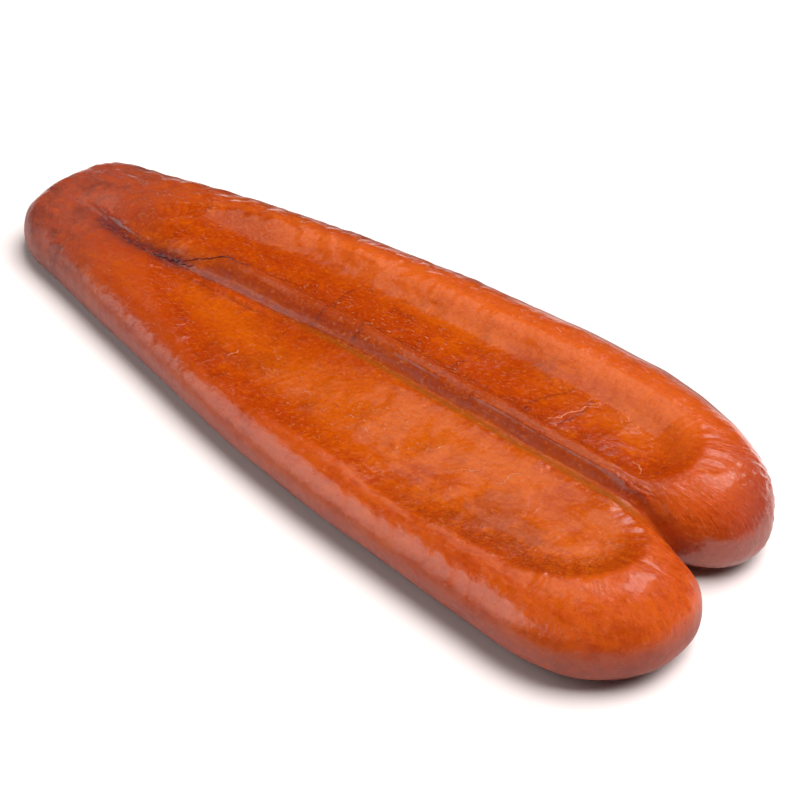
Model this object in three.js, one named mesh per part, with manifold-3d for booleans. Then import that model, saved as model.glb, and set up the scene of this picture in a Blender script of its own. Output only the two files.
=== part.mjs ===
// Dried mullet roe: the whole pair of salted, pressed and dried egg sacs of one grey mullet.
// The two sacs (lobes) lie side by side along a seam. They grew together at one end and are free and
// rounded at the other. Pressing between boards has left the pair with a flat underside, and each
// lobe with upright sides, a raised rim and a shallow trough along its top.
//
// Frame: millimetres, +Z up, +X along the pair towards its free ends, +Y across it towards the rear
// lobe, origin on the board under the middle of the pair.
import * as THREE from "three";
import { mergeVertices } from "three/addons/utils/BufferGeometryUtils.js";
import Module from "manifold-3d";

// ---- Sizes ----------------------------------------------------------------------------------------

// The whole pair, from the tip of the joined end to the tip of the front lobe's free end.
const PAIR_LENGTH = 219.5;

// How far each lobe's outer side stands from the pair's long axis, and where the seam between them
// runs, at even stations from the joined end to the free ends.
const REAR_REACH = [25.5, 38.5, 46, 46.5, 34];
const FRONT_REACH = [14, 24, 35.5, 41, 44];
const SEAM_OFFSETS = [-1, 3, 4, 3, 2, -0.5];

// Each lobe starts and stops a setback inside the pair's length. A rounded end takes up the length
// of its cap, and a roundness of 2 makes it an ellipse; more is squarer. The trough lies inside the
// lobe's ends by its own setbacks. Across the lobe, from -1 at its -Y edge to 1 at its +Y edge, it
// falls from its edge to its floor and then climbs slowly to its far side.
const REAR_LOBE = {
  side: 1,
  reach: REAR_REACH,
  joinedSetback: 0,
  freeSetback: 7,
  joinedCap: { length: 15, roundness: 2.3 },
  freeCap: { length: 32, roundness: 2.15 },
  trough: { depth: 2.6, joinedSetback: 30, freeSetback: 14, edge: -0.82, floor: -0.5, far: 0.7 },
};
const FRONT_LOBE = {
  side: -1,
  reach: FRONT_REACH,
  joinedSetback: 1,
  freeSetback: 0,
  joinedCap: { length: 21, roundness: 2.2 },
  freeCap: { length: 38, roundness: 2.6 },
  trough: { depth: 2.6, joinedSetback: 21, freeSetback: 14, edge: -0.88, floor: -0.55, far: 0.95 },
};
const TROUGH_RUN_OUT = 34; // how gently a trough rises out at its two ends

// How far the lobes run into each other: grown together at the joined end, and from there on only
// pressed together along the seam.
const JOINED_OVERLAP = 18;
const JOINED_LENGTH = 40;
const SEAM_OVERLAP = 3;

// Thickness of the pressed lobes at the two ends of the pair.
const JOINED_THICKNESS = 12.2;
const FREE_THICKNESS = 18.8;
const SECTION_ROUNDNESS = 2.8;
const CAP_DROP_SHARE = 0.48; // how much of a cap's length its top takes to fall away
const CAP_DROP_ROUNDNESS = 2.2;
// The underside that lay on the board: this much of each rounded belly is pressed flat.
const PRESSED_FLAT = 0.4;

// How finely the lobes are divided.
const AROUND = 36;
const ALONG = 56;

// ---- Form -----------------------------------------------------------------------------------------

const { clamp, inverseLerp, lerp, smoothstep } = THREE.MathUtils;

const JOINED_END = -PAIR_LENGTH / 2;
const FREE_END = PAIR_LENGTH / 2;

// A smooth curve of the offsets at even stations.
function stationCurve(offsets) {
  return new THREE.SplineCurve(offsets.map((offset, i) => new THREE.Vector2(i, offset)));
}

const seamCurve = stationCurve(SEAM_OFFSETS);

function stationShare(x) {
  return clamp(inverseLerp(JOINED_END, FREE_END, x), 0, 1);
}

// How full a rounded end is at a distance in from its tip: 0 at the tip, 1 past the cap's length.
function fullness(distance, length, roundness) {
  const left = 1 - clamp(distance / length, 0, 1);
  return (1 - left ** roundness) ** (1 / roundness);
}

// One coordinate of a squared-off circle of radius 1.
function squaredOff(cosine) {
  return Math.sign(cosine) * Math.abs(cosine) ** (2 / SECTION_ROUNDNESS);
}

function overlapAt(x) {
  const apart = smoothstep(x, JOINED_END, JOINED_END + JOINED_LENGTH);
  return lerp(JOINED_OVERLAP, SEAM_OVERLAP, apart);
}

// How deep the trough is at a place across the lobe, given the distances to the lobe's two ends.
function troughDepth(trough, fromJoined, fromFree, across) {
  const lengthwise =
    smoothstep(fromJoined - trough.joinedSetback, 0, TROUGH_RUN_OUT) *
    smoothstep(fromFree - trough.freeSetback, 0, TROUGH_RUN_OUT);
  const crosswise =
    smoothstep(across, trough.edge, trough.floor) *
    (1 - smoothstep(across, trough.floor, trough.far));
  return trough.depth * lengthwise * crosswise;
}

// The lobe's cross-section, given the distances to its two ends: its middle and half-width across,
// its thickness before the end caps, and its half-thickness.
function sectionAt(lobe, outerCurve, fromJoined, fromFree) {
  const { side, joinedCap, freeCap } = lobe;
  const x = JOINED_END + lobe.joinedSetback + fromJoined;
  const share = stationShare(x);
  const joinedFullness = fullness(fromJoined, joinedCap.length, joinedCap.roundness);
  const outer = side * outerCurve.getPoint(share).y * joinedFullness;
  const inner = (seamCurve.getPoint(share).y - (side * overlapAt(x)) / 2) * joinedFullness;
  const freeFullness = fullness(fromFree, freeCap.length, freeCap.roundness);
  const thickness = lerp(JOINED_THICKNESS, FREE_THICKNESS, share) + PRESSED_FLAT;
  return {
    middle: (outer + inner) / 2,
    halfWidth: (Math.abs(outer - inner) / 2) * freeFullness,
    thickness,
    halfThickness:
      (thickness / 2) *
      fullness(fromJoined, joinedCap.length * CAP_DROP_SHARE, CAP_DROP_ROUNDNESS) *
      fullness(fromFree, freeCap.length * CAP_DROP_SHARE, CAP_DROP_ROUNDNESS),
  };
}

// A lobe is a unit ball drawn out: its poles become the two ends, and each ring of latitude becomes
// one cross-section.
function lobeGeometry(lobe) {
  const geometry = new THREE.SphereGeometry(1, AROUND, ALONG);
  const position = geometry.getAttribute("position");
  const outerCurve = stationCurve(lobe.reach);
  const length = PAIR_LENGTH - lobe.joinedSetback - lobe.freeSetback;
  for (let i = 0; i < position.count; i += 1) {
    const fromJoined = (length * (1 - position.getY(i))) / 2;
    const fromFree = length - fromJoined;
    const angle = Math.atan2(position.getZ(i), position.getX(i));
    const section = sectionAt(lobe, outerCurve, fromJoined, fromFree);
    const across = squaredOff(Math.cos(angle));
    const up = squaredOff(Math.sin(angle));
    const dip = up > 0 ? troughDepth(lobe.trough, fromJoined, fromFree, across) : 0;
    position.setXYZ(
      i,
      JOINED_END + lobe.joinedSetback + fromJoined,
      section.middle + section.halfWidth * across,
      section.thickness / 2 - PRESSED_FLAT + section.halfThickness * up - dip,
    );
  }
  return geometry;
}

// Everything below the board's face.
function boardGeometry() {
  return new THREE.BoxGeometry(2 * PAIR_LENGTH, PAIR_LENGTH, PAIR_LENGTH)
    .translate(0, 0, -PAIR_LENGTH / 2);
}

// ---- Joining --------------------------------------------------------------------------------------

const wasm = await Module();
wasm.setup();

function solidFrom(geometry) {
  geometry.deleteAttribute("normal");
  geometry.deleteAttribute("uv");
  const merged = mergeVertices(geometry, 1e-4);
  return new wasm.Manifold(
    new wasm.Mesh({
      numProp: 3,
      vertProperties: merged.getAttribute("position").array,
      triVerts: new Uint32Array(merged.getIndex().array),
    }),
  );
}

function geometryFrom(solid) {
  const mesh = solid.getMesh();
  return new THREE.BufferGeometry()
    .setAttribute("position", new THREE.BufferAttribute(mesh.vertProperties, 3))
    .setIndex(new THREE.BufferAttribute(mesh.triVerts, 1));
}

// Moves a geometry so that the middle of its footprint is at the origin.
function centreOnBoard(geometry) {
  geometry.computeBoundingBox();
  const { min, max } = geometry.boundingBox;
  return geometry.translate(-(min.x + max.x) / 2, -(min.y + max.y) / 2, -min.z);
}

const roeSolid = solidFrom(lobeGeometry(REAR_LOBE))
  .add(solidFrom(lobeGeometry(FRONT_LOBE)))
  .subtract(solidFrom(boardGeometry()));

// ---- Part -----------------------------------------------------------------------------------------

const curedRoe = new THREE.MeshStandardMaterial({
  name: "cured_roe",
  color: 0xc8500f,
  roughness: 0.35,
  metalness: 0,
});

const roe = new THREE.Mesh(centreOnBoard(geometryFrom(roeSolid)), curedRoe);
roe.name = "mullet_roe";

const group = new THREE.Group();
group.name = "dried_mullet_roe";
group.add(roe);

export default group;
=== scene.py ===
"""Dried mullet roe: the pair of cured egg sacs, its blood vessels and membrane threads, and a pale stage."""

import math

import bmesh
import bpy
import numpy as np
from bpy.props import FloatProperty, FloatVectorProperty, IntProperty, PointerProperty
from mathutils import Matrix, Vector, noise
from mathutils.bvhtree import BVHTree


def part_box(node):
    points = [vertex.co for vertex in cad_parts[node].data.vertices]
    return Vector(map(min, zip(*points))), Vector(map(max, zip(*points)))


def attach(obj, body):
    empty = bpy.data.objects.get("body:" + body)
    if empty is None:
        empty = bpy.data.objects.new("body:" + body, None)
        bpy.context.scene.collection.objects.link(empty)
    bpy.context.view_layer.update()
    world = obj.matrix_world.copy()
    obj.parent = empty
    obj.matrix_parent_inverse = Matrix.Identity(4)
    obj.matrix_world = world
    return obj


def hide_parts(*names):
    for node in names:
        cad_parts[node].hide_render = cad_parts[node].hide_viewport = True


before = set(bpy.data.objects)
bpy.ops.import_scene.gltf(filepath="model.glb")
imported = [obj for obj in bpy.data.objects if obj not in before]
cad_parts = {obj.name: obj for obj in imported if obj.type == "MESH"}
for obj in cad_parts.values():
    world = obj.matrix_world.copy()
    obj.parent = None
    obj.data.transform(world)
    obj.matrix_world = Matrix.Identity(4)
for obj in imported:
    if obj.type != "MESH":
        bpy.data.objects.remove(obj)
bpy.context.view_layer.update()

bl_info = {
    "name": "Dried Mullet Roe",
    "version": (1, 0, 0),
    "blender": (4, 5, 0),
    "location": "3D View > Sidebar > Roe",
    "description": "Builds a pair of cured mullet roe lobes on a pale studio floor",
    "category": "Object",
}

MM = 0.001
ROE_NODE = "mullet_roe"


# ---- Settings ------------------------------------------------------------------------------------


def length(name, description, millimetres):
    return FloatProperty(
        name=name, description=description, default=millimetres * MM, unit="LENGTH", precision=5
    )


def colour(name, description, rgb):
    return FloatVectorProperty(
        name=name, description=description, default=rgb, subtype="COLOR", size=3, min=0, max=1
    )


class RoeSizes(bpy.types.PropertyGroup):
    trough_depth: length("Trough depth", "How far the middle of each lobe has sunk", 2.9)
    bead_height: length("Bead height", "How far the rear lobe's inner edge stands over its top", 0.8)
    bead_width: length("Bead width", "Width of the rolled inner edge along the seam", 5.6)
    crease_depth: length("Crease depth", "Depth of the crease between the lobes", 1.3)
    unevenness: length("Unevenness", "Height of the slow swells all over the sac", 0.34)
    wrinkle_height: length("Wrinkle height", "Height of the radial wrinkles where a trough ends", 0.22)
    skin_spacing: length("Skin spacing", "Distance between neighbouring points of the finished skin", 0.68)
    around: IntProperty(name="Faces around", description="Faces round a lobe before joining", default=124)
    along: IntProperty(name="Faces along", description="Faces along a lobe before joining", default=380)


class RoeColours(bpy.types.PropertyGroup):
    flesh: colour("Flesh", "Deep orange of the pressed eggs", (0.35, 0.034, 0.0004))
    amber: colour("Amber", "Clear amber where the sac is thin", (0.51, 0.083, 0.0005))
    ember: colour("Ember", "Dark red-orange in folds and trough edges", (0.22, 0.018, 0.0008))
    rim: colour("Rim", "Duller salmon of the dried rims", (0.54, 0.080, 0.012))
    side: colour("Side", "Mauve-brown of the dried sides", (0.29, 0.052, 0.028))
    foot_shade: colour("Foot", "Dark lower edge where the sac meets the board", (0.12, 0.020, 0.012))
    # Painted shade: the lower edge of the sides is darkened where the sac meets the floor.
    vein: colour("Vein", "Clotted blood in the vessels", (0.07, 0.013, 0.018))
    thread: colour("Thread", "Pale membrane threads", (0.60, 0.22, 0.10))
    floor: colour("Floor", "Pale studio floor", (0.88, 0.80, 0.78))


# ---- Form of the lobes, in millimetres -----------------------------------------------------------

PAIR_LENGTH = 219.5
JOINED_END = -PAIR_LENGTH / 2
FREE_END = PAIR_LENGTH / 2
# Where the crease runs, at even stations from the joined end to the free end.
SEAM_OFFSETS = (
    -1, -1.2, 0.4, -0.6, -0.7, 1.3, 2.6, 3.4, 3.8, 4.0, 3.9, 3.6,
    3.4, 3.1, 2.9, 2.7, 2.4, 2.2, 1.8, 1.4, 0.8, 0.2, -0.5,
)
JOINED_OVERLAP = 18
JOINED_LENGTH = 40
SEAM_OVERLAP = 3
JOINED_THICKNESS = 12.2
FREE_THICKNESS = 18.8
PRESSED_FLAT = 0.4
CAP_DROP_SHARE = 0.45
CAP_DROP_ROUNDNESS = 2.4
BELLY_ROUNDNESS = 2.35
WIDEST_SHARE = 0.42
LEAN_LENGTH = 16


class Lobe:
    """One egg sac: which side of the seam it lies on, its reach from the long axis, and its two ends."""

    def __init__(
        self, side, reach, setbacks, joined_cap, free_cap, free_lean, joined_roundness, outer_roundness
    ):
        self.side = side
        self.reach = reach
        self.start = JOINED_END + setbacks[0]
        self.stop = FREE_END - setbacks[1]
        self.joined_cap = joined_cap
        self.free_cap = free_cap
        self.free_lean = free_lean
        self.joined_roundness = joined_roundness
        self.outer_roundness = outer_roundness


REAR = Lobe(1, (26, 38.5, 46, 47, 34.8), (-0.8, 7), (11, 2.9), (32, 2.15), 0, 3.6, 3.2)
FRONT = Lobe(-1, (13, 23.6, 34.8, 40.2, 43.6), (-0.8, 0.8), (17, 2.3), (35, 2.4), 2.2, 2.4, 2.2)

# The troughs' outlines from above, inside which the top has sunk. The rear one's near side lies beyond
# the seam, because there the bead bounds it.
FRONT_TROUGH = (
    (-72, 1), (-66, -4), (-60, -9), (-50, -15.5), (-40, -20), (-30, -24), (-20, -26), (-8, -27.8),
    (6, -28.3), (20, -28.8), (32, -30.6), (46, -31.6), (60, -31.2), (74, -30.6), (84, -27.5), (91, -21),
    (93, -13), (90, -6), (84, -1.5), (66, 1.5), (30, 3), (-10, 5), (-50, 6), (-66, 4),
)
REAR_TROUGH = (
    (-82, 6), (-78, 17), (-66, 25), (-50, 30.5), (-32, 33.5), (-10, 35), (12, 35.6), (34, 35.8),
    (52, 35.2), (66, 33.6), (76, 30), (81.5, 23), (83, 15), (82, 6), (76, -6), (40, -12), (0, -12),
    (-40, -12), (-74, -6),
)
BEAD_START = (-62, -46)  # along the pair, from where the bead begins to where it is full


def smoothstep(value, low, high):
    t = np.clip((value - low) / (high - low), 0, 1)
    return t * t * (3 - 2 * t)


def bump(value, centre, width):
    return np.exp(-(((value - centre) / width) ** 2))


def blend(a, b, share):
    return a + (b - a) * share


def spline(values, share):
    """A smooth curve through values at even stations, at shares 0 to 1 of the way along."""
    values = np.asarray(values, float)
    last = len(values) - 1
    place = np.clip(share, 0, 1) * last
    i = np.minimum(place.astype(int), last - 1)
    t = place - i
    before, here = values[np.maximum(i - 1, 0)], values[i]
    there, after = values[i + 1], values[np.minimum(i + 2, last)]
    slope_here, slope_there = (there - before) / 2, (after - here) / 2
    return (
        (2 * here - 2 * there + slope_here + slope_there) * t**3
        + (-3 * here + 3 * there - 2 * slope_here - slope_there) * t**2
        + slope_here * t
        + here
    )


def pair_share(x):
    return (x - JOINED_END) / PAIR_LENGTH


def seam_at(x):
    """Where the crease runs, with its hook round the front lobe's head."""
    return spline(SEAM_OFFSETS, pair_share(x))


def fullness(distance, cap_length, roundness):
    left = 1 - np.clip(distance / cap_length, 0, 1)
    return (1 - left**roundness) ** (1 / roundness)


def outer_at(lobe, x):
    return lobe.side * spline(lobe.reach, pair_share(x)) * fullness(x - lobe.start, *lobe.joined_cap)


def inner_at(lobe, x):
    overlap = blend(JOINED_OVERLAP, SEAM_OVERLAP, smoothstep(x, JOINED_END, JOINED_END + JOINED_LENGTH))
    return (seam_at(x) - lobe.side * overlap / 2) * fullness(x - lobe.start, *lobe.joined_cap)


def thickness_at(x):
    return blend(JOINED_THICKNESS, FREE_THICKNESS, np.clip(pair_share(x), 0, 1)) + PRESSED_FLAT


def closed_curve(points, steps=8):
    """A smooth closed outline through points, as short straight pieces."""
    ring = np.asarray(points, float)
    before, here = np.roll(ring, 1, 0), ring
    there, after = np.roll(ring, -1, 0), np.roll(ring, -2, 0)
    t = (np.arange(steps) / steps)[:, None, None]
    curve = 0.5 * (
        2 * here
        + (there - before) * t
        + (2 * before - 5 * here + 4 * there - after) * t**2
        + (3 * here - before - 3 * there + after) * t**3
    )
    return curve.transpose(1, 0, 2).reshape(-1, 2)


def edge_place(x, y, outline):
    """How far each place lies inside a closed outline, and where along it its nearest edge is."""
    nearest = np.full(x.shape, 1e9)
    along = np.zeros(x.shape)
    inside = np.zeros(x.shape, bool)
    walked = 0
    for (ax, ay), (bx, by) in zip(outline, np.roll(outline, -1, 0)):
        dx, dy = bx - ax, by - ay
        step = math.hypot(dx, dy)
        t = np.clip(((x - ax) * dx + (y - ay) * dy) / step**2, 0, 1)
        distance = np.hypot(x - ax - t * dx, y - ay - t * dy)
        closer = distance < nearest
        nearest = np.where(closer, distance, nearest)
        along = np.where(closer, walked + t * step, along)
        walked += step
        if dy:
            inside ^= ((ay > y) != (by > y)) & (x < ax + (y - ay) / dy * dx)
    return np.where(inside, nearest, -nearest), along


def depth_inside(x, y, outline):
    return edge_place(x, y, outline)[0]


FRONT_TROUGH_CURVE = closed_curve(FRONT_TROUGH)
REAR_TROUGH_CURVE = closed_curve(REAR_TROUGH)


def soft_ramp(distance, reach, softness=0.7):
    """0 outside an edge, climbing fast and then levelling off to 1 at reach inside it."""
    eased = (np.sqrt(distance**2 + softness**2) + distance) / 2
    return 1 - (1 - np.clip(eased / reach, 0, 1)) ** 2


def joined_dome(x, y):
    """The joined end's low swelling."""
    return 1.7 * bump(np.hypot(x + 103, y - 5), 0, 13)


def front_relief(x, y, sizes):
    """Height of the front lobe's top: steep by the rim, and rising slowly to the seam."""
    from_seam = seam_at(x) - y
    width = np.maximum(seam_at(x) - outer_at(FRONT, x), 1)
    inside = depth_inside(x, y, FRONT_TROUGH_CURVE)
    steep = soft_ramp(inside + 0.5 * np.sin(x / 3.1) * np.sin(x / 7.3 + 1), 9)
    rise = np.clip(from_seam / width / 0.58, 0, 1)
    rise = 1 - (1 - rise) ** 1.4
    free_part = smoothstep(x, -45, 15)
    floor = blend(blend(1.15, 0.85, np.clip(from_seam / 16, 0, 1)), blend(0.18, 1, rise), free_part)
    deepening = blend(0.5, 1, smoothstep(x, -75, -35))
    inner_drop = 0.7 * (1 - smoothstep(from_seam, 0.0, 3.4)) * smoothstep(x, -70, -30)
    return joined_dome(x, y) - sizes.trough_depth / MM * steep * floor * deepening - inner_drop


def rear_relief(x, y, sizes):
    """Height of the rear lobe's top: a bead along the seam, then a trough rising to the far crest."""
    from_seam = y - seam_at(x)
    bead_edge = from_seam - sizes.bead_width / MM
    beaded = smoothstep(x, *BEAD_START) * (1 - smoothstep(x, 68, 84))
    bead = sizes.bead_height / MM * smoothstep(from_seam, 0, 5.6)
    bead = bead * (1 - smoothstep(bead_edge, -0.6, 3)) * beaded
    rear_hump = 0.9 * smoothstep(from_seam, 0, 11) * (1 - smoothstep(from_seam, 13, 22)) * bump(x, -78, 20)
    bead = bead + rear_hump
    gentle = smoothstep(bead_edge, -2, 14)
    stepped = 0.62 * smoothstep(bead_edge, -0.4, 3.2) + 0.38 * smoothstep(bead_edge, 2, 18)
    near_edge = blend(gentle, stepped, beaded)
    far_rise = smoothstep(depth_inside(x, y, REAR_TROUGH_CURVE), -1.0, 10)
    deepening = blend(0.3, 1, smoothstep(x, -78, -40))
    return joined_dome(x, y) + bead - sizes.trough_depth / MM * 1.1 * near_edge * far_rise * deepening


def crease_fill(x, y, sizes):
    """Height of the flesh in the bottom of the crease between the lobes."""
    from_seam = y - seam_at(x)
    depth = sizes.crease_depth / MM * blend(0.3, 1, smoothstep(x, -98, -76))
    depth = depth + 0.8 * smoothstep(x, -80, -62) * (1 - smoothstep(x, -30, 20))
    depth = depth + 14 * smoothstep(x, 72, 100) ** 2
    steepness = np.where(from_seam > 0, 0.22, 0.10)
    return thickness_at(x) - PRESSED_FLAT - 0.9 - depth + steepness * from_seam**2


def ring_place(share):
    """Spreads rings evenly along a lobe, and closer together only at its two rounded ends."""
    tip = 0.14
    tip_reach = tip / (2 * (1 - tip))
    from_end = np.minimum(share, 1 - share)
    curved = tip_reach * (from_end / tip) ** 2
    straight = tip_reach + (from_end - tip) * 2 * tip_reach / tip
    place = np.where(from_end < tip, curved, straight)
    return np.where(share < 0.5, place, 1 - place)


def section_angles(turns):
    """Spreads points evenly round a flat section, closer together on its top than under it."""
    angles = np.linspace(-math.pi, math.pi, 2000)
    across, up = section_shape(angles, np.full(angles.shape, 3.2))
    steps = np.hypot(np.diff(across) * 20, np.diff(up) * 8.5)
    weight = blend(0.8, 1.6, smoothstep((up[1:] + up[:-1]) / 2, 0.2, 0.9))
    walked = np.concatenate([[0], np.cumsum(steps * weight)])
    return np.interp(turns, walked / walked[-1], angles)


def section_shape(angles, roundness):
    """A squared-off circle of radius 1, as its two coordinates."""
    cosine, sine = np.cos(angles), np.sin(angles)
    radius = (np.abs(cosine) ** roundness + np.abs(sine) ** roundness) ** (-1 / roundness)
    return cosine * radius, sine * radius


def lobe_points(lobe, ball, relief):
    """Draws a unit ball's points out into a lobe: its poles become the ends, its rings the sections."""
    ring = np.arccos(np.clip(ball[:, 2], -1, 1)) / math.pi
    x = lobe.start + (lobe.stop - lobe.start) * ring_place(ring)
    turn = (np.arctan2(ball[:, 1], ball[:, 0]) + math.pi) / (2 * math.pi)
    angles = section_angles(turn)
    inward = np.cos(angles) * lobe.side < 0
    top = np.sin(angles) > 0
    tight = blend(BELLY_ROUNDNESS, 5.0, smoothstep(x, -90, -60) * (1 - smoothstep(x, 60, 100)))
    shoulder = blend(lobe.joined_roundness, lobe.outer_roundness, smoothstep(x, -100, 60))
    roundness = np.where(top, np.where(inward, tight, shoulder), BELLY_ROUNDNESS)
    across, up = section_shape(angles, roundness)

    outer, inner = outer_at(lobe, x), inner_at(lobe, x)
    half_width = np.abs(outer - inner) / 2 * fullness(lobe.stop - x, *lobe.free_cap)
    thickness = thickness_at(x)
    drop = fullness(x - lobe.start, lobe.joined_cap[0] * CAP_DROP_SHARE, CAP_DROP_ROUNDNESS) * fullness(
        lobe.stop - x, lobe.free_cap[0] * CAP_DROP_SHARE, CAP_DROP_ROUNDNESS
    )
    lean = lobe.free_lean * smoothstep(x, lobe.stop - LEAN_LENGTH, lobe.stop)
    y = (outer + inner) / 2 + lean + half_width * across
    widest = thickness * WIDEST_SHARE
    z = widest - PRESSED_FLAT + np.where(up > 0, thickness - widest, widest) * drop * up
    z += relief(x, y) * smoothstep(up, 0.25, 0.8) * smoothstep(drop, 0.5, 0.95)
    return np.stack([x, y, z], 1)


# ---- Mesh helpers --------------------------------------------------------------------------------


def points_of(mesh):
    points = np.empty(len(mesh.vertices) * 3)
    mesh.vertices.foreach_get("co", points)
    return points.reshape(-1, 3)


def move_points(mesh, points):
    mesh.vertices.foreach_set("co", points.ravel())
    mesh.update()


def normals_of(mesh):
    normals = np.empty(len(mesh.vertices) * 3)
    mesh.vertex_normals.foreach_get("vector", normals)
    return normals.reshape(-1, 3)


def new_object(name, mesh):
    thing = bpy.data.objects.new(name, mesh)
    bpy.context.scene.collection.objects.link(thing)
    return thing


def swell(points, size, seed=0.0):
    """Smooth noise from -1 to 1, with lumps of about the given size."""
    offset = Vector((seed, seed * 1.7, -seed))
    return np.array([noise.noise(Vector(p) / size + offset) for p in points])


def lobe_object(name, lobe, sizes, relief):
    shape = bmesh.new()
    bmesh.ops.create_uvsphere(shape, u_segments=sizes.around, v_segments=sizes.along, radius=1)
    mesh = bpy.data.meshes.new(name)
    shape.to_mesh(mesh)
    shape.free()
    move_points(mesh, lobe_points(lobe, points_of(mesh), relief))
    shape = bmesh.new()
    shape.from_mesh(mesh)
    bmesh.ops.recalc_face_normals(shape, faces=shape.faces)
    shape.to_mesh(mesh)
    shape.free()
    return new_object(name, mesh)


def joined_mesh(first, second, name, spacing):
    """One closed, evenly spaced mesh of two overlapping solids."""
    union = first.modifiers.new("union", "BOOLEAN")
    union.operation = "UNION"
    union.solver = "MANIFOLD"
    union.object = second
    skin = first.modifiers.new("even_skin", "REMESH")
    skin.mode = "VOXEL"
    skin.voxel_size = spacing
    graph = bpy.context.evaluated_depsgraph_get()
    mesh = bpy.data.meshes.new_from_object(first.evaluated_get(graph))
    mesh.name = name
    for used in (first, second):
        bpy.data.objects.remove(used, do_unlink=True)
    return mesh


# ---- The roe pair --------------------------------------------------------------------------------


def roe_shift():
    """How far the form's own frame lies from the CAD part's, whose footprint is centred on the origin."""
    x = np.linspace(JOINED_END, FREE_END, 2000)
    edges = []
    for lobe in (REAR, FRONT):
        along = x[(x > lobe.start) & (x < lobe.stop)]
        outer, inner = outer_at(lobe, along), inner_at(lobe, along)
        half = np.abs(outer - inner) / 2 * fullness(lobe.stop - along, *lobe.free_cap)
        edges.append(np.max(lobe.side * ((outer + inner) / 2) + half))
    low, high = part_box(ROE_NODE)
    return np.array([0, (low[1] + high[1]) / 2 / MM - (edges[0] - edges[1]) / 2, 0])


def trough_place(x, y):
    """Depth inside the nearer lobe's trough outline, and the place along that outline."""
    rear = y > seam_at(x)
    rear_in, rear_along = edge_place(x, y, REAR_TROUGH_CURVE)
    front_in, front_along = edge_place(x, y, FRONT_TROUGH_CURVE)
    return np.where(rear, rear_in, front_in), np.where(rear, rear_along + 500, front_along)


def flat_noise(across, along, size, seed):
    """Smooth noise over two coordinates only."""
    return swell(np.stack([across, along, np.zeros_like(across)], 1), size, seed)


def surface_detail(points, normals, sizes):
    """Moves the smooth form's points along their normals into swells, lumps, wrinkles and folds."""
    x, y, z = points.T
    up = normals[:, 2]
    clear_of_board = smoothstep(z, 0.4, 3.5)
    top = smoothstep(up, 0.1, 0.6)
    seam = seam_at(x)
    rear = smoothstep(y - seam, -1, 1)
    inside, along = trough_place(x, y)

    swells = sizes.unevenness / MM * 1.15 * (
        swell(points, 19, 3) + 0.40 * swell(points, 8, 11) + 0.10 * swell(points, 3.4, 23)
    )

    from_far_edge = outer_at(REAR, x) - y
    far_rim = rear * bump(from_far_edge, 7, 7) * (1 - smoothstep(x, -10, 40)) * top
    lumps = far_rim * (0.35 * swell(points * (1, 1, 0.4), 4.5, 37) + 0.22 * swell(points, 1.9, 39))

    # Wrinkles run across the troughs' edges, strongest round the free ends.
    end_zone = smoothstep(x, 62, 84) * top
    broad_ripple = 0.6 * flat_noise(along, inside * 0.16, 1.6, 47)
    fine_ripple = 0.6 * flat_noise(along, inside * 0.1, 0.9, 49)
    ripple = broad_ripple + fine_ripple
    wrinkles = sizes.wrinkle_height / MM * bump(inside, -0.5, 5.5) * end_zone * ripple * 1.5
    combing = 0.05 * bump(inside, 0.5, 3.0) * top * (1 - end_zone)
    combing = combing * flat_noise(along, inside * 0.2, 1.7, 53)

    front_side = (1 - rear) * (1 - smoothstep(up, 0.25, 0.7))
    fold_line = 3.6 + 0.9 * np.sin(x / 17) + 0.6 * np.sin(x / 6.1)
    fold = -0.3 * front_side * bump(z, fold_line, 0.9)
    fold = fold * smoothstep(x, -60, -10) * (1 - smoothstep(x, 50, 80))
    skirt = -0.5 * front_side * bump(z, 3.4 + 0.5 * np.sin(x / 3 + y / 4), 0.8) * smoothstep(x, 66, 92)
    shoulder = (1 - rear) * bump(up, 0.62, 0.3) * 0.12 * flat_noise(x + 0.6 * y, z * 0.3, 3.1, 67)

    crusted = rear * smoothstep(x, 84, 96) * smoothstep(y, 16, 26) * clear_of_board
    crust = 0.4 * crusted * swell(points, 1.7, 71)

    amount = swells * blend(0.5, 1, top) + lumps + wrinkles + combing + fold + skirt + shoulder + crust
    direction = normals.copy()
    in_crease = bump(y - seam, 0, 2.5) * top
    direction[:, :2] *= (1 - in_crease)[:, None]
    return points + direction * (amount * clear_of_board * (1 - 0.5 * in_crease))[:, None]


def near_line(x, y, path):
    """How far each place lies from an open line."""
    nearest = np.full(x.shape, 1e9)
    for (ax, ay), (bx, by) in zip(path, path[1:]):
        dx, dy = bx - ax, by - ay
        t = np.clip(((x - ax) * dx + (y - ay) * dy) / (dx * dx + dy * dy), 0, 1)
        nearest = np.minimum(nearest, np.hypot(x - ax - t * dx, y - ay - t * dy))
    return nearest


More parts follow.
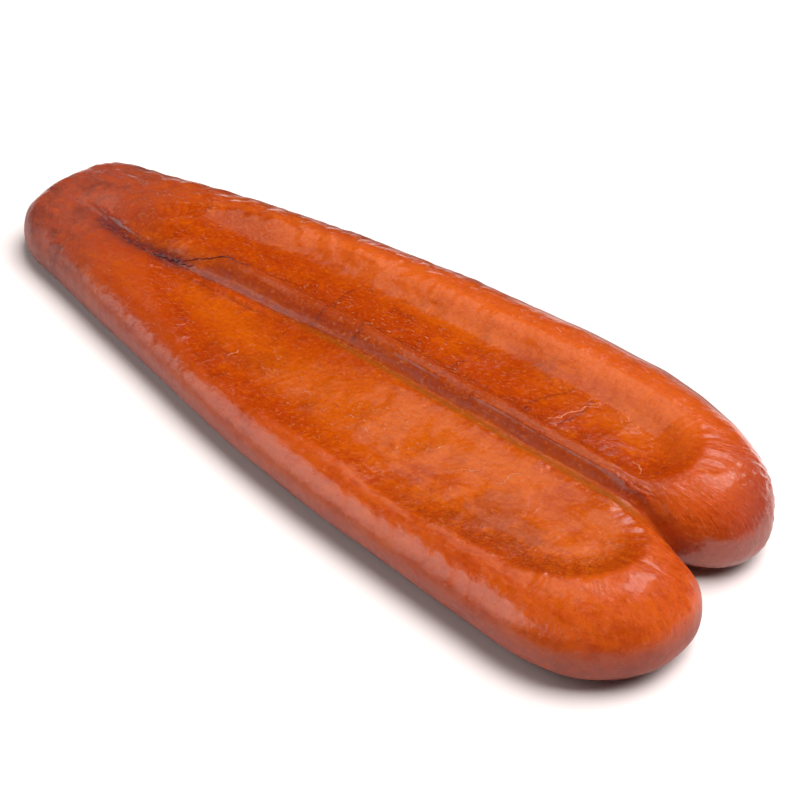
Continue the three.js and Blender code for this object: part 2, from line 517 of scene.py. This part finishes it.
def surface_marks(points, normals):
    """How strongly each kind of skin, and each painted light, shade and highlight, shows at each point, from
    0 to 1.
    """
    x, y, z = points.T
    up = normals[:, 2]
    seam = seam_at(x)
    rear = y > seam
    inside, along = trough_place(x, y)
    top = smoothstep(up, 0.2, 0.75)
    wander = 0.5 * flat_noise(x, y, 2.6, 91)
    vessels = sum(bump(near_line(x + wander, y - wander, path), 0, 0.42) for path in BURIED_VESSELS)
    from_far_edge = outer_at(REAR, x) - y
    near_free_end = np.where(rear, smoothstep(x, 74, 100), smoothstep(x, 82, 108))
    return {
        "edge_along": along,
        "edge_depth": inside,
        "trough": smoothstep(inside, -1.6, 1.0) * top,
        "trough_edge": smoothstep(inside, -0.5, 1) * (1 - smoothstep(inside, 2, 9)) * top,
        "pleated": near_free_end * (1 - smoothstep(inside, 3, 9)) * top,
        # Partly real mottling, partly painted shade: the trough floors' darker, saturated zones.
        "mottle_and_shade_floor": np.where(
            rear,
            smoothstep(y - seam, 3, 8) * (1 - smoothstep(y - seam + np.clip(x - 20, 0, 60) * 0.1, 16, 26))
            + smoothstep(x, 66, 80) * smoothstep(inside, -4, 1),
            bump(inside, 3.5, 6.5) * (1 - smoothstep(x, -2, 30)),
        ) * smoothstep(x, -84, -66) * top,
        "bead": bump(y - seam, 4.6, 3.2) * smoothstep(x, *BEAD_START) * (1 - smoothstep(x, 80, 92)) * top,
        "cool": 1 - smoothstep(x, -60, 0),
        # Painted shade on the bead's flank where it falls into the crease.
        "bead_flank_shade": bump(y - seam, 1.4, 1.9) * smoothstep(x, *BEAD_START) * top,
        "bead_back": bump(y - seam, 8.2, 2.2) * smoothstep(x, -60, -44)
        * (1 - smoothstep(x, 64, 78)) * top,
        "shoulder": (1 - smoothstep(up, 0.45, 0.92)) * (~rear),
        "side": (1 - smoothstep(up + 0.03 * (z - 9), -0.15, 0.75)),
        "free_end": near_free_end,
        "front_end": near_free_end * (~rear),
        "joined_end": 1 - smoothstep(x + 0.35 * y + 3 * swell(points, 9, 83), -100, -66),
        "rear_tip": smoothstep(x + 0.5 * y, 98, 113) * rear,
        # Painted shade along the lower edge, strongest where the sac meets the floor.
        "foot_shade": 1 - smoothstep(z, 0.8, 7.5),
        # Painted shade in the crease, seen through the front lobe's thin inner edge.
        "olive_crease_shade": bump(seam - y, 1.7, 1.2) * smoothstep(x, -40, 0)
        * (1 - smoothstep(x, 78, 90)) * top * (~rear),
        "stain": bump(y - seam, 0.2, 2.7 + 1.0 * flat_noise(x, y, 4, 97)) * smoothstep(x, -96, -84)
        * (1 - smoothstep(x, -62, -52)) * top,
        "vessels": vessels * top * 1.2,
        "far_rim": rear * bump(np.clip(from_far_edge - 2.5, 0, 99), 0, 2.5) * (1 - smoothstep(x, 70, 92)),
        # Painted light: the bright band along the rear trough's far slope.
        "painted_light_band": rear * bump(inside, 1.6, 4.6) * smoothstep(x, -62, -40) * (1 - smoothstep(x, 74, 84))
        * smoothstep(y - seam, 12, 20) * top,
        "pool": (
            bump(np.hypot((x - 68) / 1.6, y - 17), 0, 9) + bump(np.hypot((x + 42) / 2.6, y + 6), 0, 8)
            + bump(np.hypot((x - 6) / 2, y - 21), 0, 6) + bump(np.hypot((x + 4) / 2, y + 14), 0, 7)
        ) * top,
        # Where the pale flecks and their painted highlights cluster.
        "fleck_and_glint_zone": np.clip(
            bump(np.hypot((x - 14) / 2.6, y + 15), 0, 9) + bump(np.hypot((x - 2) / 3.2, y - 13), 0, 8)
            + 0.5 * bump(np.hypot((x + 70) / 2, y - 18), 0, 9), 0, 1
        ) * top,
        # Painted light: the front trough's pale floor, brightened as if lit.
        "pale_lit_floor": smoothstep(x, -20, 14) * bump(np.clip(seam - y - 8, 0, 99), 0, 9)
        * smoothstep(seam - y, 1, 4) * (1 - smoothstep(x, 82, 94)) * top,
        "grainy": bump(inside, 4.5, 4.5) * smoothstep(x, 22, 60)
        * (1 - smoothstep(x, 84, 94)) * smoothstep(seam - y, 9, 14) * top,
        "crust": smoothstep(x + 0.4 * y - 0.5 * z, 96, 112) * smoothstep(y, 8, 18) * rear,
    }


def build_roe(settings):
    sizes = settings.sizes
    rear = lobe_object("rear_lobe", REAR, sizes, lambda x, y: rear_relief(x, y, sizes))
    front = lobe_object("front_lobe", FRONT, sizes, lambda x, y: front_relief(x, y, sizes))
    mesh = joined_mesh(rear, front, "roe_pair", sizes.skin_spacing / MM)
    points = points_of(mesh)
    x, y, z = points.T
    in_crease = (np.abs(y - seam_at(x)) < 3.4) & (z > thickness_at(x) * 0.45) & (x > JOINED_END + 8)
    points[:, 2] = np.where(in_crease, np.maximum(z, crease_fill(x, y, sizes)), np.maximum(z, 0))
    move_points(mesh, points)
    detailed = surface_detail(points, normals_of(mesh), sizes)
    detailed[:, 2] = np.maximum(detailed[:, 2], 0)
    for name, strength in surface_marks(detailed, normals_of(mesh)).items():
        mark = mesh.attributes.new(name, "FLOAT", "POINT")
        mark.data.foreach_set("value", strength.astype(np.float32))
    move_points(mesh, (detailed + roe_shift()) * MM)
    mesh.shade_smooth()
    roe = new_object("roe_pair", mesh)
    roe.data.materials.clear()
    roe.data.materials.append(roe_material(settings.colours))
    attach(roe, "root")
    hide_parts(ROE_NODE)
    return roe


# ---- Vessels and membrane threads, by plan places in the form's own millimetres ------------------

CLOT = (
    (-86, -0.6), (-82, -0.7), (-77, -0.5), (-72, -0.7), (-68, -0.5), (-64, 0.6), (-60, 1.3), (-56, 2.0),
)
DARK_THREAD = (
    (-59.5, 1.6), (-57, 3.4), (-55, 4.8), (-53.4, 5.7), (-51.5, 7.4), (-49.5, 8.4), (-46.6, 8.2),
    (-43.4, 9.6),
)
BURIED_VESSELS = (
    ((-17.2, 3.6), (-17.4, 6.4), (-17.8, 9.6), (-19.2, 14.2), (-20.6, 18.4), (-20.4, 21.5)),
    ((-4.5, 3.6), (-5.2, 6.8), (-6.4, 10.4), (-7.0, 12.4)),
    ((20.4, 7.8), (19.6, 11.2), (18.6, 14.2), (19.2, 17.4)),
    ((42.6, 9.6), (40.6, 13.6), (41.6, 18.2), (43.8, 23.4)),
    ((50.6, 13.0), (51.4, 18.0), (50.4, 24.6)),
)
PALE_THREADS = (
    ((47.6, 12.4), (49.2, 14.6), (49.4, 17.4), (50.8, 19.6), (50.6, 22.0), (52.6, 24.0)),
    ((56.0, -6.4), (54.2, -8.6), (54.6, -11.0), (52.8, -12.4)),
    ((48.2, -10.4), (47.0, -12.4), (45.0, -13.0)),
    ((36.4, -10.0), (35.6, -12.6), (33.8, -13.6)),
    ((-24.4, -17.4), (-23.4, -16.0), (-23.6, -14.2)),
    ((71.0, 13.0), (73.6, 12.0), (75.2, 9.8)),
)


def skin_finder(roe):
    """A function that finds the skin under a place given in the form's own millimetres."""
    tree = BVHTree.FromPolygons([v.co for v in roe.data.vertices], [p.vertices for p in roe.data.polygons])
    shift = roe_shift()

    def find(x, y):
        above = Vector(((x + shift[0]) * MM, (y + shift[1]) * MM, 0.05))
        spot, normal, _, _ = tree.ray_cast(above, Vector((0, 0, -1)))
        if spot is None:
            raise RuntimeError(f"no skin under {x}, {y}")
        return spot, normal

    return find


def strand(name, paths, find, thickness, lift, wander, material):
    """Thin tubes lying along the skin, thick in the middle and fading at their ends."""
    tubes = bpy.data.curves.new(name, "CURVE")
    tubes.dimensions = "3D"
    tubes.bevel_depth = MM
    tubes.bevel_resolution = 2
    tubes.use_fill_caps = True
    for number, path in enumerate(paths):
        path = np.array(path, float)
        places = np.linspace(0, 1, 12 * (len(path) - 1) + 1)
        x, y = spline(path[:, 0], places), spline(path[:, 1], places)
        line = tubes.splines.new("POLY")
        line.points.add(len(places) - 1)
        for i, share in enumerate(places):
            place = Vector((x[i] * 0.9, y[i] * 0.9, number * 5.1))
            drift_x = wander * noise.noise(place)
            drift_y = wander * noise.noise(place + Vector((0, 0, 40)))
            spot, normal = find(x[i] + drift_x, y[i] + drift_y)
            swelling = 0.75 + 0.5 * noise.noise(Vector((x[i] * 1.3, y[i] * 1.3, number * 3.7 + 9)))
            radius = thickness / 2 * swelling * (0.25 + 0.75 * math.sin(math.pi * share) ** 0.5)
            spot = spot + normal * radius * lift * MM
            line.points[i].co = (*spot, 1)
            line.points[i].radius = radius
    loose = new_object(name + "_line", tubes)
    graph = bpy.context.evaluated_depsgraph_get()
    mesh = bpy.data.meshes.new_from_object(loose.evaluated_get(graph))
    bpy.data.objects.remove(loose, do_unlink=True)
    mesh.shade_smooth()
    piece = new_object(name, mesh)
    piece.data.materials.clear()
    piece.data.materials.append(material)
    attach(piece, "root")
    return piece


def build_vessels(settings):
    find = skin_finder(bpy.data.objects["roe_pair"])
    dark = vessel_material(settings.colours)
    strand("clotted_vein", [CLOT], find, 1.7, -0.45, 0.5, dark)
    strand("dark_thread", [DARK_THREAD], find, 0.55, 0.15, 0.35, dark)


def build_threads(settings):
    find = skin_finder(bpy.data.objects["roe_pair"])
    strand("membrane_threads", PALE_THREADS, find, 0.5, -0.3, 0.5, thread_material(settings.colours))


# ---- Materials -----------------------------------------------------------------------------------


class Signal:
    """A shader socket that can be used in Python arithmetic; each operation adds a Math node."""

    def __init__(self, nodes, socket):
        self.nodes = nodes
        self.socket = socket

    def maths(self, operation, *others):
        return self.nodes.add("ShaderNodeMath", {"operation": operation}, [self, *others])

    def __add__(self, other):
        return self.maths("ADD", other)

    def __sub__(self, other):
        return self.maths("SUBTRACT", other)

    def __rsub__(self, other):
        return self.nodes.add("ShaderNodeMath", {"operation": "SUBTRACT"}, [other, self])

    def __mul__(self, other):
        return self.maths("MULTIPLY", other)

    __radd__ = __add__
    __rmul__ = __mul__

    def clamped(self):
        return self.nodes.add("ShaderNodeClamp", {}, [self])

    def step(self, low, high):
        """0 below low and 1 above high, smoothly."""
        return self.nodes.add(
            "ShaderNodeMapRange",
            {"interpolation_type": "SMOOTHSTEP"},
            {"Value": self, "From Min": low, "From Max": high},
        )


class Nodes:
    """A material's node tree, built one call per node."""

    def __init__(self, name):
        self.material = bpy.data.materials.new(name)
        self.material.use_nodes = True
        self.tree = self.material.node_tree
        self.tree.nodes.clear()

    def add(self, kind, settings=None, inputs=(), output=0):
        node = self.tree.nodes.new(kind)
        for key, value in (settings or {}).items():
            setattr(node, key, value)
        pairs = inputs.items() if isinstance(inputs, dict) else enumerate(inputs)
        for key, value in pairs:
            self.feed(node.inputs[key], value)
        return Signal(self, node.outputs[output]) if node.outputs else None

    def feed(self, socket, value):
        if isinstance(value, Signal):
            self.tree.links.new(value.socket, socket)
        elif socket.type == "RGBA" and len(value) == 3:
            socket.default_value = (*value, 1)
        else:
            socket.default_value = value

    def mix(self, share, first, second):
        """Blends two colours."""
        node = self.tree.nodes.new("ShaderNodeMix")
        node.data_type = "RGBA"
        sockets = {s.identifier: s for s in node.inputs}
        self.feed(sockets["Factor_Float"], share)
        self.feed(sockets["A_Color"], first)
        self.feed(sockets["B_Color"], second)
        return Signal(self, next(s for s in node.outputs if s.identifier == "Result_Color"))

    def mark(self, name):
        return self.add("ShaderNodeAttribute", {"attribute_name": name}, output="Fac")

    def vector(self, x, y, z):
        return self.add("ShaderNodeCombineXYZ", {}, [x, y, z])

    def place(self, scale=(1, 1, 1)):
        spot = self.add("ShaderNodeTexCoord", output="Object")
        return self.add("ShaderNodeMapping", {}, {"Vector": spot, "Scale": scale})

    def noise_at(self, place, scale, detail, roughness):
        sockets = {"Vector": place, "Scale": scale, "Detail": detail, "Roughness": roughness}
        return self.add("ShaderNodeTexNoise", {}, sockets)

    def noise(self, scale, detail=2.0, stretch=(1, 1, 1), roughness=0.5):
        """Noise from 0 to 1; scale is lumps per millimetre."""
        return self.noise_at(self.place(stretch), scale / MM, detail, roughness)

    def cells(self, scale):
        """Distance from the nearest cell's middle; scale is cells per millimetre."""
        return self.add("ShaderNodeTexVoronoi", {}, {"Vector": self.place(), "Scale": scale / MM})

    def bump(self, height, distance, strength=1.0, below=None):
        inputs = {"Height": height, "Distance": distance, "Strength": strength}
        if below is not None:
            inputs["Normal"] = below
        return self.add("ShaderNodeBump", {}, inputs)

    def finish(self, sockets):
        shader = self.add("ShaderNodeBsdfPrincipled", {}, sockets)
        self.add("ShaderNodeOutputMaterial", {}, {"Surface": shader})
        return self.material


# Tones of single places on the skin, some of them painted light and shade.
# Painted light: the bright band along the rear trough's far slope, standing in for the light on it.
PAINTED_TROUGH_LIGHT = (0.60, 0.102, 0.010)
COOL_RIM = (0.42, 0.058, 0.012)
DARK_GRAIN = (0.20, 0.026, 0.0015)
REAR_END_SIDE = (0.42, 0.060, 0.010)
REAR_TIP = (0.27, 0.044, 0.030)
JOINED_SMUDGE = (0.15, 0.030, 0.018)
FRONT_END_SIDE = (0.19, 0.022, 0.008)
BEAD_TOP = (0.29, 0.036, 0.006)
# Painted shade of the crease, olive where the thin edge lies over it.
CREASE_SHADE_OLIVE = (0.18, 0.070, 0.003)
BURIED_BLOOD = (0.10, 0.010, 0.006)
FAR_RIM_SHADE = (0.13, 0.014, 0.002)
CRUST_BROWN = (0.16, 0.045, 0.022)
CRUST_CRUMB = (0.42, 0.26, 0.16)
LIT_EGGS = (0.62, 0.135, 0.004)


class SkinPatterns:
    """The patterns that the skin's colour, relief and gloss share."""

    def __init__(self, n):
        self.clouds = n.noise(0.055, 4, roughness=0.6)
        self.patches = n.noise(0.11, 3, roughness=0.55)
        self.mottle = n.noise(0.35, 5, roughness=0.65)
        self.streaks = n.noise(0.5, 4, stretch=(0.25, 1, 1), roughness=0.6)
        self.cloudy = self.mottle * 0.4 + self.streaks * 0.25 + self.patches * 0.35
        across_edge = n.vector(n.mark("edge_along"), n.mark("edge_depth") * 0.16, 0.0)
        self.combed = n.noise_at(across_edge, 0.55, 4.0, 0.6)
        self.pleats = n.noise_at(across_edge, 1.7, 2.0, 0.5)
        self.grain = n.cells(1.5)
        self.egg_tone = n.noise(1.0, 5, roughness=0.7)
        # The pale flecks are partly grains and partly painted highlights: glints painted into the colour,
        # with a matching bump.
        fleck_and_glint_noise = n.noise(1.3, 2, stretch=(0.6, 1, 1))
        where = n.mark("fleck_and_glint_zone") * 0.8 + 0.2
        self.fleck_and_glint = fleck_and_glint_noise.step(0.57, 0.66) * self.mottle.step(0.44, 0.60) * where


def trough_tones(n, p, colours):
    """The pressed eggs of the tops and the troughs, with painted light on the front trough's pale floor and
    on the rear trough's far slope, and painted shade in the floors' darker zones.
    """
    mark = n.mark
    base = n.mix((p.clouds * 0.5 + p.streaks * 0.5).step(0.38, 0.62), colours.flesh, colours.amber)
    base = n.mix(mark("trough") * p.clouds.step(0.35, 0.65) * 0.5, base, colours.amber)
    base = n.mix(mark("trough") * p.patches.step(0.48, 0.64) * 0.6, base, colours.ember)
    base = n.mix((mark("pool") * 0.7).clamped(), base, colours.amber)
    # Painted light on the front trough's pale floor.
    base = n.mix(mark("pale_lit_floor") * p.clouds.step(0.25, 0.55) * 0.85, base, colours.amber)
    base = n.mix(mark("trough_edge") * p.combed.step(0.3, 0.65) * 0.9, base, colours.flesh)
    # Real mottling and painted shade on the trough floors' darker zones.
    base = n.mix((mark("mottle_and_shade_floor") * p.cloudy.step(0.36, 0.54)).clamped(), base, colours.flesh)
    base = n.mix((mark("mottle_and_shade_floor") * p.cloudy.step(0.52, 0.64) * 0.7).clamped(), base, colours.ember)
    # Painted light on the rear trough's far slope.
    return n.mix((mark("painted_light_band") * 0.85).clamped(), base, PAINTED_TROUGH_LIGHT)


def dried_tones(n, p, colours, base):
    """The drier rims, sides and ends, and the painted shade along the foot, over the pressed eggs."""
    mark = n.mark
    rim = n.mix(mark("cool"), colours.rim, COOL_RIM)
    base = n.mix((1 - mark("trough")) * p.mottle.step(0.2, 0.7) * 0.75, base, rim)
    grainy = mark("grainy") * p.grain.step(0.2, 0.7) * p.mottle.step(0.3, 0.6)
    base = n.mix(grainy * 0.7, base, DARK_GRAIN)
    base = n.mix(mark("side") * p.mottle.step(0.15, 0.6) * 0.9, base, colours.side)
    rear_end = mark("free_end") - mark("front_end")
    base = n.mix(rear_end * mark("side") * p.mottle.step(0.2, 0.6) * 0.75, base, REAR_END_SIDE)
    base = n.mix(mark("rear_tip") * p.mottle.step(0.15, 0.55) * 0.9, base, REAR_TIP)
    base = n.mix(mark("joined_end") * p.mottle.step(0.10, 0.55) * 0.85, base, colours.side)
    base = n.mix(mark("joined_end") * p.cloudy.step(0.42, 0.60) * 0.75, base, JOINED_SMUDGE)
    front_side = mark("front_end") * mark("side") * p.patches.step(0.30, 0.6)
    base = n.mix(front_side * 0.75, base, FRONT_END_SIDE)
    # Painted shade along the foot of the sides.
    return n.mix(mark("foot_shade") * mark("side") * 0.85, base, colours.foot_shade)


def small_tones(n, p, colours, base):
    """The bead and the painted shade on its flank, the painted shade in the crease, the vessels, the crust
    and the flecks with their painted highlights over all the rest.
    """
    mark = n.mark
    base = n.mix(mark("bead") * 0.65, base, BEAD_TOP)
    base = n.mix(mark("bead_back") * p.mottle.step(0.2, 0.65) * 0.7, base, colours.ember)
    # Painted shade on the bead's flank in the crease.
    base = n.mix(mark("bead_flank_shade") * 0.7, base, colours.ember)
    # Painted shade in the crease.
    base = n.mix(mark("olive_crease_shade") * 0.6, base, CREASE_SHADE_OLIVE)
    base = n.mix(mark("stain") * p.mottle.step(0.15, 0.5) * 0.85, base, colours.vein)
    base = n.mix((mark("vessels") * p.mottle.step(0.15, 0.5) * 0.5).clamped(), base, BURIED_BLOOD)
    base = n.mix(mark("far_rim") * p.mottle.step(0.15, 0.5) * 0.9, base, FAR_RIM_SHADE)
    base = n.mix(mark("crust") * p.mottle.step(0.35, 0.6) * 0.7, base, CRUST_BROWN)
    crumbs = (1 - p.grain.step(0.12, 0.34)) * mark("crust") * p.mottle.step(0.45, 0.6)
    base = n.mix(crumbs * 0.7, base, CRUST_CRUMB)
    # Pale flecks, partly painted highlights.
    base = n.mix(p.fleck_and_glint * 0.7, base, colours.thread)
    base = n.mix(p.egg_tone.step(0.50, 0.70) * 0.34, base, colours.ember)
    return n.mix(mark("trough") * (1 - p.egg_tone.step(0.34, 0.48)) * 0.30, base, LIT_EGGS)


def skin_relief(n, p):
    """Relief too fine for the mesh, from slow swells down to the pores."""
    mark = n.mark
    near_edge = (mark("trough_edge") + mark("pleated")).clamped()
    crumpled_at = mark("pleated") * 0.6 + mark("side") * 0.12 + mark("joined_end") * 0.2
    slow = n.bump(p.patches, 0.9 * MM, 0.8)
    swells = n.bump(p.mottle, 0.34 * MM, 0.5, slow)
    combing = n.bump(p.combed, 0.9 * MM, near_edge * 0.15, swells)
    pleating = n.bump(p.pleats, 0.5 * MM, mark("pleated") * (1 - mark("side")) * 0.8, combing)
    crumpled = n.bump(n.noise(0.8, 3, roughness=0.5), 0.42 * MM, crumpled_at, pleating)
    wet_streaks = n.noise(0.9, 3, stretch=(0.35, 1, 1), roughness=0.55)
    skin = n.bump(wet_streaks, 0.10 * MM, 0.5, crumpled)
    eggs = n.bump(p.grain, 0.14 * MM, mark("grainy") * 0.4 + 0.06, skin)
    specks = n.bump(p.fleck_and_glint, 0.30 * MM, 0.6, eggs)
    return n.bump(n.noise(1.1, 4, roughness=0.6), 0.045 * MM, 0.5, specks)


def roe_material(colours):
    n = Nodes("cured_roe")
    mark = n.mark
    p = SkinPatterns(n)
    base = dried_tones(n, p, colours, trough_tones(n, p, colours))
    dried = mark("crust") * 0.25 + mark("side") * 0.1 + mark("shoulder") * 0.14 + mark("grainy") * 0.1
    dulled = mark("far_rim") * 0.3 + mark("bead_flank_shade") * 0.2 + mark("joined_end") * 0.12
    wet = (1 - mark("mottle_and_shade_floor").clamped() * 0.8) * (1 - mark("crust")) * (1 - mark("shoulder"))
    wet = wet * (1 - mark("far_rim")) * (1 - mark("bead_flank_shade")) * (1 - mark("joined_end") * 0.6)
    return n.finish(
        {
            "Base Color": small_tones(n, p, colours, base),
            "Roughness": 0.11 + p.mottle * 0.09 + mark("front_end") * 0.1 + dried + dulled,
            "IOR": 1.45,
            "Normal": skin_relief(n, p),
            "Coat Weight": wet * 0.6,
            "Coat Roughness": 0.07,
            "Coat IOR": 1.4,
            "Subsurface Weight": 0.35,
            "Subsurface Radius": (1.0, 0.30, 0.08),
            "Subsurface Scale": 3.0 * MM,
        }
    )


def vessel_material(colours):
    n = Nodes("dark_vessel")
    mottle = n.noise(0.8, 3)
    base = n.mix(mottle.step(0.35, 0.65), colours.vein, colours.ember)
    return n.finish({"Base Color": base, "Roughness": 0.35, "Coat Weight": 0.5, "Coat Roughness": 0.15})


def thread_material(colours):
    n = Nodes("membrane_thread")
    mottle = n.noise(1.0, 2)
    base = n.mix(mottle.step(0.3, 0.7), colours.thread, colours.rim)
    return n.finish({"Base Color": base, "Roughness": 0.28, "Coat Weight": 0.6, "Coat Roughness": 0.12})


def floor_material(colours):
    """A pale floor that fades away with distance, so that the room beyond it is plain white."""
    n = Nodes("studio_floor")
    from_middle = n.add("ShaderNodeVectorMath", {"operation": "LENGTH"}, [n.place()], output="Value")
    return n.finish(
        {
            "Base Color": tuple(colours.floor),
            "Roughness": 0.9,
            "Specular IOR Level": 0.1,
            "Alpha": 1 - from_middle.step(0.35, 0.85),
        }
    )


# ---- Stage ---------------------------------------------------------------------------------------

CAMERA_AT = (0.2984, -0.3131, 0.3442)
CAMERA_AIM = (0.01465, -0.0034, 0.010)
CAMERA_LENS = 105.96
FLOOR_DROP = 0.03 * MM
ROOM_STRENGTH = 0.02


def aim(thing, place, target, across=None):
    """Points a lamp or camera at a target; across is the direction its width runs in."""
    thing.location = place
    thing.rotation_euler = (Vector(target) - Vector(place)).to_track_quat("-Z", "Y").to_euler()
    if across:
        back = (Vector(place) - Vector(target)).normalized()
        side = (Vector(across) - Vector(across).dot(back) * back).normalized()
        thing.rotation_euler = Matrix((side, back.cross(side), back)).transposed().to_euler()


def softbox(name, place, size, watts, target=(0, 0, 0.01), seen=True, tint=(1, 1, 1), across=None):
    lamp = bpy.data.lights.new(name, "AREA")
    lamp.shape = "RECTANGLE"
    lamp.size, lamp.size_y = size
    lamp.energy = watts
    lamp.color = tint
    thing = new_object(name, lamp)
    aim(thing, place, target, across)
    thing.visible_glossy = seen
    return thing


def build_floor(colours):
    shape = bmesh.new()
    bmesh.ops.create_grid(shape, x_segments=1, y_segments=1, size=1)
    bmesh.ops.translate(shape, verts=shape.verts, vec=(0, 0, -FLOOR_DROP))
    mesh = bpy.data.meshes.new("floor")
    shape.to_mesh(mesh)
    shape.free()
    floor = new_object("floor", mesh)
    floor.data.materials.append(floor_material(colours))


def build_camera():
    camera = bpy.data.cameras.new("camera")
    camera.lens = CAMERA_LENS
    camera.sensor_width = 36
    camera.clip_start, camera.clip_end = 0.01, 20
    holder = new_object("camera", camera)
    aim(holder, CAMERA_AT, CAMERA_AIM)
    bpy.context.scene.camera = holder


def build_lights():
    softbox(
        "back_softbox", (-0.72, 0.42, 1.30), (0.80, 0.44), 1.35, tint=(1, 0.84, 0.68), across=(0, 1, 0)
    )
    softbox("hot_window", (-0.345, 0.975, 1.07), (0.40, 0.46), 2.15)
    softbox("left_reflector", (-0.845, -0.787, 0.62), (0.85, 1.0), 5.6)
    softbox("overhead_fill", (0.48, 0.48, 1.45), (1.5, 1.5), 48, seen=False)


def build_room():
    """A room that looks plain white and lights the roe only a little."""
    world = bpy.data.worlds.new("studio")
    bpy.context.scene.world = world
    world.use_nodes = True
    nodes, links = world.node_tree.nodes, world.node_tree.links
    room = nodes["Background"]
    room.inputs["Color"].default_value = (1, 1, 1, 1)
    room.inputs["Strength"].default_value = ROOM_STRENGTH
    backdrop = nodes.new("ShaderNodeBackground")
    backdrop.inputs["Color"].default_value = (1, 1, 1, 1)
    either = nodes.new("ShaderNodeMixShader")
    links.new(nodes.new("ShaderNodeLightPath").outputs["Is Camera Ray"], either.inputs[0])
    links.new(room.outputs[0], either.inputs[1])
    links.new(backdrop.outputs[0], either.inputs[2])
    links.new(either.outputs[0], nodes["World Output"].inputs["Surface"])
    bpy.context.scene.view_settings.view_transform = "Standard"


def build_stage(settings):
    build_floor(settings.colours)
    build_camera()
    build_lights()
    build_room()


# ---- Add-on --------------------------------------------------------------------------------------


class RoeSettings(bpy.types.PropertyGroup):
    sizes: PointerProperty(type=RoeSizes)
    colours: PointerProperty(type=RoeColours)


class ROE_OT_pair(bpy.types.Operator):
    """Build the two joined lobes"""

    bl_idname = "roe.pair"
    bl_label = "Roe pair"

    def execute(self, context):
        build_roe(context.scene.roe)
        return {"FINISHED"}


class ROE_OT_vessels(bpy.types.Operator):
    """Lay the clotted vein and the fine vessels on the skin"""

    bl_idname = "roe.vessels"
    bl_label = "Blood vessels"

    def execute(self, context):
        build_vessels(context.scene.roe)
        return {"FINISHED"}


class ROE_OT_threads(bpy.types.Operator):
    """Lay the pale membrane threads on the skin"""

    bl_idname = "roe.threads"
    bl_label = "Membrane threads"

    def execute(self, context):
        build_threads(context.scene.roe)
        return {"FINISHED"}


class ROE_OT_stage(bpy.types.Operator):
    """Build the floor, the lights and the camera"""

    bl_idname = "roe.stage"
    bl_label = "Studio stage"

    def execute(self, context):
        build_stage(context.scene.roe)
        return {"FINISHED"}


class ROE_PT_panel(bpy.types.Panel):
    """Sizes, colours and building steps of the roe"""

    bl_idname = "ROE_PT_panel"
    bl_label = "Dried mullet roe"
    bl_space_type = "VIEW_3D"
    bl_region_type = "UI"
    bl_category = "Roe"

    def draw(self, context):
        for group in (context.scene.roe.sizes, context.scene.roe.colours):
            for name in group.__annotations__:
                self.layout.prop(group, name)
        for step in STEPS:
            self.layout.operator(step.bl_idname)


STEPS = (ROE_OT_pair, ROE_OT_vessels, ROE_OT_threads, ROE_OT_stage)
CLASSES = (RoeSizes, RoeColours, RoeSettings, *STEPS, ROE_PT_panel)


def register():
    for item in CLASSES:
        bpy.utils.register_class(item)
    bpy.types.Scene.roe = PointerProperty(type=RoeSettings)


def unregister():
    del bpy.types.Scene.roe
    for item in reversed(CLASSES):
        bpy.utils.unregister_class(item)


def main():
    register()
    for step in STEPS:
        group, name = step.bl_idname.split(".")
        getattr(getattr(bpy.ops, group), name)()


if __name__ == "__main__":
    main()
